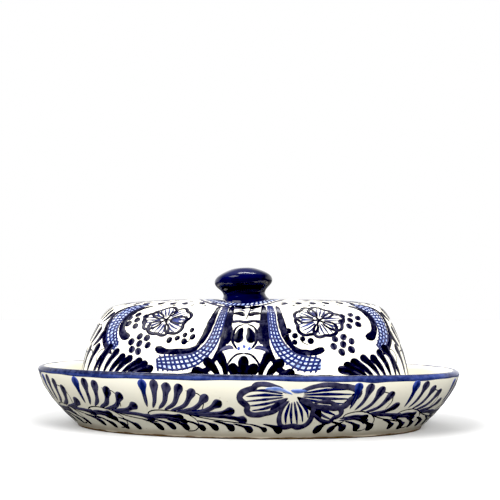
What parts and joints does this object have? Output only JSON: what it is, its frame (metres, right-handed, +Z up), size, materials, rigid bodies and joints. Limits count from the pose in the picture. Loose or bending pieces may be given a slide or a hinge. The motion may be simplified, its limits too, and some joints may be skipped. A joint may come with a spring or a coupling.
{
  "type": "butter dish",
  "caption": "Covered oval butter dish: a shallow flared dish with a loose loaf-shaped domed lid and a round knob, in glazed hand-painted earthenware.",
  "frame": {"origin": "the middle of the dish, on the surface that its foot ring stands on", "axes": "+X along the dish, +Y across it, +Z up through the knob"},
  "size_m": [0.2154, 0.1376, 0.0811],
  "materials": {
    "dish_glaze": "glossy cream-white glaze with cobalt blue painting",
    "lid_glaze": "glossy cream-white glaze with cobalt blue painting",
    "knob_glaze": "glossy dark cobalt blue glaze"
  },
  "bodies": {
    "dish": {"dish": "dish_glaze"},
    "lid": {"lid_shell": "lid_glaze", "knob": "knob_glaze"}
  },
  "joints": [
    {"name": "lid_lift", "type": "slide", "parent": "dish", "child": "lid", "axis": [0, 0, 1], "range_m": [0, 0.1]}
  ]
}
